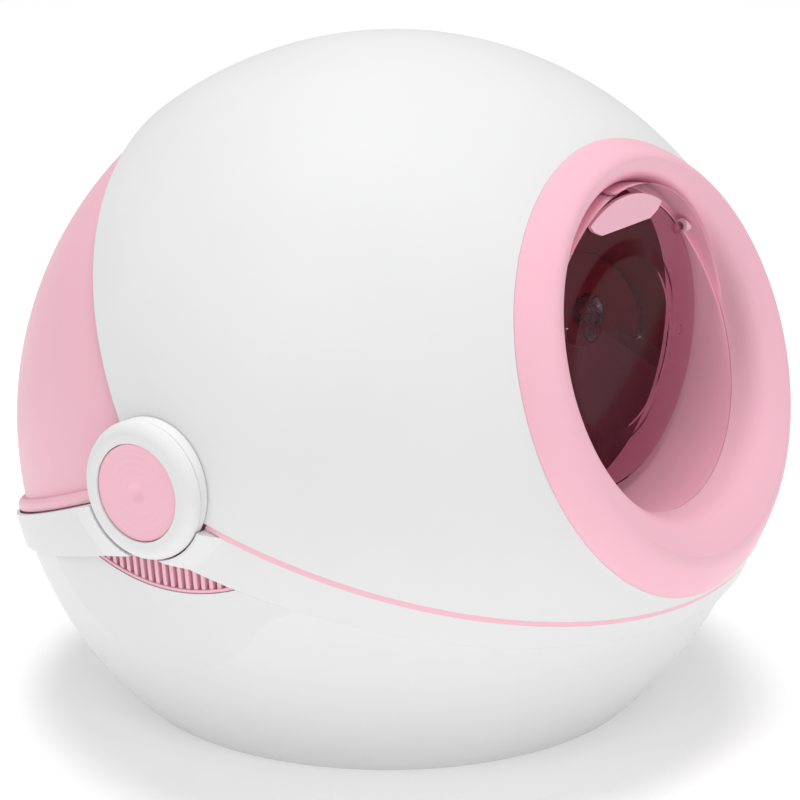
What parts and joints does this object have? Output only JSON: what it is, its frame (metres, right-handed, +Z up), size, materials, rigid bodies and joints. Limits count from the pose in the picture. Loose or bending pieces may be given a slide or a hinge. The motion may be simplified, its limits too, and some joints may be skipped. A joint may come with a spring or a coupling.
{
  "type": "cat litter box with hood",
  "caption": "Ball-shaped covered cat litter box: lift-out tub in a base, pink dome, hood that turns back, round entrance with a hanging clear flap, swing-up carrying handle.",
  "frame": {"origin": "centre of the flat foot, on the floor", "axes": "+Z up; the entrance faces -Y; the handle and button pivots lie along X"},
  "size_m": [0.532, 0.5072, 0.4374],
  "materials": {
    "white_shell": "satin",
    "pink_shell": "satin",
    "clear_flap": "clear",
    "bush_plastic": "natural",
    "steel": "zinc plated"
  },
  "bodies": {
    "base": {"base_shell": "white_shell", "side_grip_left": "pink_shell", "side_grip_right": "pink_shell"},
    "tub": {"litter_tub": "pink_shell"},
    "top": {"rear_dome": "pink_shell", "pivot_collar_left": "white_shell", "pivot_collar_right": "white_shell", "handle_axle_left": "steel", "handle_axle_right": "steel", "axle_washers": "steel", "axle_nuts": "steel", "hood_pivot_pins": "steel"},
    "hood": {"front_hood": "white_shell", "entrance_bezel": "pink_shell", "entrance_sleeve": "pink_shell", "bezel_screws": "steel", "flap_socket_left": "pink_shell", "flap_socket_right": "pink_shell"},
    "flap": {"door_flap": "clear_flap", "flap_top_plate": "pink_shell", "flap_pin_left": "clear_flap", "flap_pin_right": "clear_flap"},
    "handle": {"carry_handle": "white_shell", "hub_bush_left": "bush_plastic", "hub_bush_right": "bush_plastic"},
    "button_left": {"button_left": "pink_shell", "button_clip_left": "steel", "button_spring_left": "steel"},
    "button_right": {"button_right": "pink_shell", "button_clip_right": "steel", "button_spring_right": "steel"}
  },
  "joints": [
    {"name": "tub_lift", "type": "slide", "parent": "base", "child": "tub", "axis": [0, 0, 1], "range_m": [0, 0.2]},
    {"name": "top_lift", "type": "slide", "parent": "tub", "child": "top", "axis": [0, 0, 1], "range_m": [0, 0.2]},
    {"name": "hood_open", "type": "hinge", "parent": "top", "child": "hood", "pos_m": [0, 0, 0.1824], "axis": [-1, 0, 0], "range_deg": [0, 55]},
    {"name": "flap_swing", "type": "hinge", "parent": "hood", "child": "flap", "pos_m": [0, -0.17276, 0.32143], "axis": [1, 0, 0], "range_deg": [-50, 50]},
    {"name": "handle_swing", "type": "hinge", "parent": "top", "child": "handle", "pos_m": [0, 0, 0.2004], "axis": [1, 0, 0], "range_deg": [0, 115]},
    {"name": "button_left_press", "type": "slide", "parent": "top", "child": "button_left", "axis": [1, 0, 0], "range_m": [0, 0.0015], "stiffness_N_per_m": 700, "springref_m": -0.0015, "deforming": ["button_spring_left"]},
    {"name": "button_right_press", "type": "slide", "parent": "top", "child": "button_right", "axis": [-1, 0, 0], "range_m": [0, 0.0015], "stiffness_N_per_m": 700, "springref_m": -0.0015, "deforming": ["button_spring_right"]}
  ]
}
